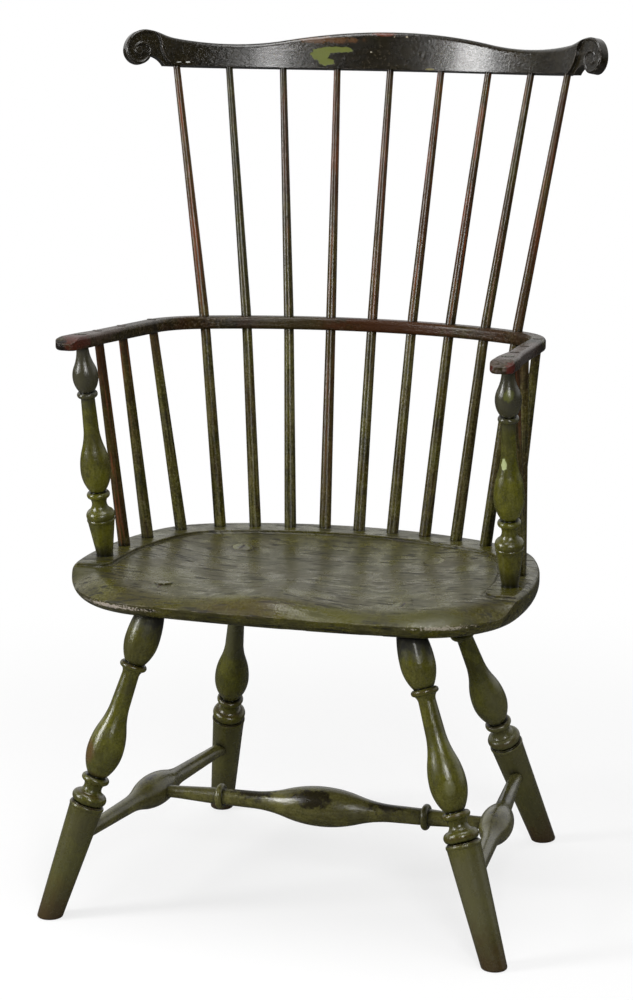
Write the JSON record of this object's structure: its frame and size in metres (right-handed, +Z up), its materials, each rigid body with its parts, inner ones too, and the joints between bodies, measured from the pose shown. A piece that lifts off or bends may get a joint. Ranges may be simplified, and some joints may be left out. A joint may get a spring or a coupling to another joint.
{
  "type": "comb back windsor chair",
  "caption": "Painted comb back windsor armchair with a saddled plank seat, turned splayed legs, an H stretcher, a bent arm rail and a scroll-eared comb on tall spindles.",
  "frame": {"origin": "on the floor, below the middle of the overall width and depth", "axes": "+Z up, the sitter faces -Y, +X to the right of someone looking at the chair from the front"},
  "size_m": [0.6586, 0.5618, 1.1032],
  "materials": {
    "green_paint": "old dark green paint under a satin varnish",
    "dark_paint": "darkened green-black paint, rubbed brown on the edges, satin",
    "worn_paint": "green paint worn through to brown wood, satin",
    "wedge_wood": "end grain under dark paint, satin"
  },
  "bodies": {
    "root": {"arm_rail": "dark_paint", "arm_wedges": "wedge_wood", "centre_long_spindle": "worn_paint", "comb": "dark_paint", "comb_pins": "wedge_wood", "far_left_long_spindle": "worn_paint", "far_right_long_spindle": "worn_paint", "front_left_leg": "green_paint", "front_right_leg": "green_paint", "inner_left_long_spindle": "worn_paint", "inner_right_long_spindle": "worn_paint", "left_arm_post": "green_paint", "left_front_short_spindle": "green_paint", "left_middle_short_spindle": "green_paint", "left_rear_short_spindle": "green_paint", "left_stretcher": "green_paint", "leg_wedges": "wedge_wood", "medial_stretcher": "green_paint", "middle_left_long_spindle": "worn_paint", "middle_right_long_spindle": "worn_paint", "outer_left_long_spindle": "worn_paint", "outer_right_long_spindle": "worn_paint", "rear_left_leg": "green_paint", "rear_right_leg": "green_paint", "right_arm_post": "green_paint", "right_front_short_spindle": "green_paint", "right_middle_short_spindle": "green_paint", "right_rear_short_spindle": "green_paint", "right_stretcher": "green_paint", "seat": "green_paint"}
  },
  "joints": []
}
